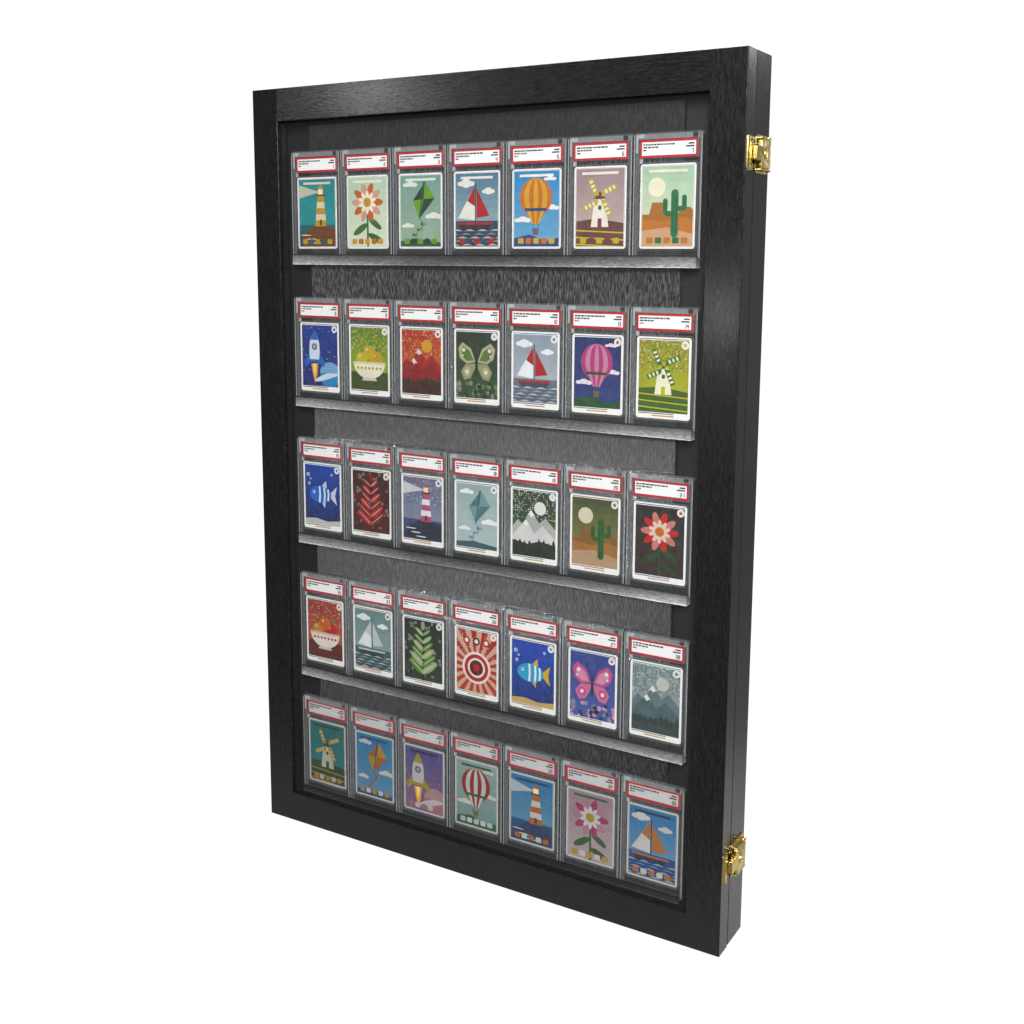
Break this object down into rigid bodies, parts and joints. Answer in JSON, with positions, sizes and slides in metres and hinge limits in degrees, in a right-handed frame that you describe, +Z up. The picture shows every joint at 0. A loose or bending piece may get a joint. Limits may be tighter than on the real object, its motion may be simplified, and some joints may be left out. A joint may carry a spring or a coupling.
{
  "type": "trading card display case",
  "caption": "Wall-hung wooden display case with a hinged clear-fronted door, two key latches and rows of graded card holders on ledges.",
  "frame": {"origin": "on the wall plane, midway between the round parts of the two keyhole hangers", "axes": "+X to the right as seen from the front, +Y into the wall, +Z up; the door faces -Y"},
  "size_m": [0.6756, 0.07, 0.9779],
  "materials": {
    "case_black": "satin black stain over fine straight grain",
    "panel_black": "semi-gloss black stain over coarse vertical grain",
    "ledge_grey": "black stain with an open, light-catching grain",
    "bare_timber": "bare hardwood",
    "board_black": "black hardboard",
    "clear_sheet": "clear, polished",
    "clear_case": "clear, moulded",
    "card_stock": "coated, printed",
    "label_paper": "white, printed",
    "polished_brass": "bright, polished",
    "zinc_steel": "zinc plated",
    "black_felt": "short felt"
  },
  "bodies": {
    "case": {"case_side_left": "case_black", "case_side_right": "case_black", "case_top": "case_black", "case_bottom": "case_black", "hanging_rail_top": "case_black", "hanging_rail_bottom": "case_black", "case_dowels": "bare_timber", "back_board": "board_black", "display_panel": "panel_black", "board_pins": "zinc_steel", "ledge_screws": "zinc_steel", "hanger_plates": "zinc_steel", "hanger_screws": "zinc_steel", "door_bumpers": "black_felt", "hinge_leaves_case": "polished_brass", "hinge_pins": "polished_brass", "hinge_screws_case": "polished_brass", "latch_base_upper": "polished_brass", "latch_base_lower": "polished_brass", "latch_base_screws": "polished_brass", "latch_pins": "polished_brass", "ledge_row_1": "ledge_grey", "card_holders_row_1": "clear_case", "cards_row_1": "card_stock", "labels_row_1": "label_paper", "ledge_row_2": "ledge_grey", "card_holders_row_2": "clear_case", "cards_row_2": "card_stock", "labels_row_2": "label_paper", "ledge_row_3": "ledge_grey", "card_holders_row_3": "clear_case", "cards_row_3": "card_stock", "labels_row_3": "label_paper", "ledge_row_4": "ledge_grey", "card_holders_row_4": "clear_case", "cards_row_4": "card_stock", "labels_row_4": "label_paper", "ledge_row_5": "ledge_grey", "card_holders_row_5": "clear_case", "cards_row_5": "card_stock", "labels_row_5": "label_paper"},
    "door": {"door_stile_left": "case_black", "door_stile_right": "case_black", "door_rail_top": "case_black", "door_rail_bottom": "case_black", "door_dowels": "bare_timber", "pane": "clear_sheet", "pane_beads_side": "case_black", "pane_beads_end": "case_black", "bead_pins": "zinc_steel", "hinge_leaves_door": "polished_brass", "hinge_screws_door": "polished_brass", "latch_catch_upper": "polished_brass", "latch_catch_lower": "polished_brass", "latch_catch_screws": "polished_brass"},
    "lever_upper": {"latch_lever_upper": "polished_brass"},
    "lever_lower": {"latch_lever_lower": "polished_brass"},
    "plug_upper": {"lock_plug_upper": "polished_brass"},
    "plug_lower": {"lock_plug_lower": "polished_brass"}
  },
  "joints": [
    {"name": "door_hinge", "type": "hinge", "parent": "case", "child": "door", "pos_m": [-0.3334, -0.0444, -0.43395], "axis": [0, 0, -1], "range_deg": [0, 175]},
    {"name": "latch_lever_upper", "type": "hinge", "parent": "case", "child": "lever_upper", "pos_m": [0.3354, -0.0165, -0.04745], "axis": [0, 0, 1], "range_deg": [0, 90]},
    {"name": "latch_lever_lower", "type": "hinge", "parent": "case", "child": "lever_lower", "pos_m": [0.3354, -0.0165, -0.82045], "axis": [0, 0, 1], "range_deg": [0, 90]},
    {"name": "lock_plug_upper", "type": "hinge", "parent": "lever_upper", "child": "plug_upper", "pos_m": [0.3362, -0.03, -0.04745], "axis": [1, 0, 0], "range_deg": [0, 90]},
    {"name": "lock_plug_lower", "type": "hinge", "parent": "lever_lower", "child": "plug_lower", "pos_m": [0.3362, -0.03, -0.82045], "axis": [1, 0, 0], "range_deg": [0, 90]}
  ]
}
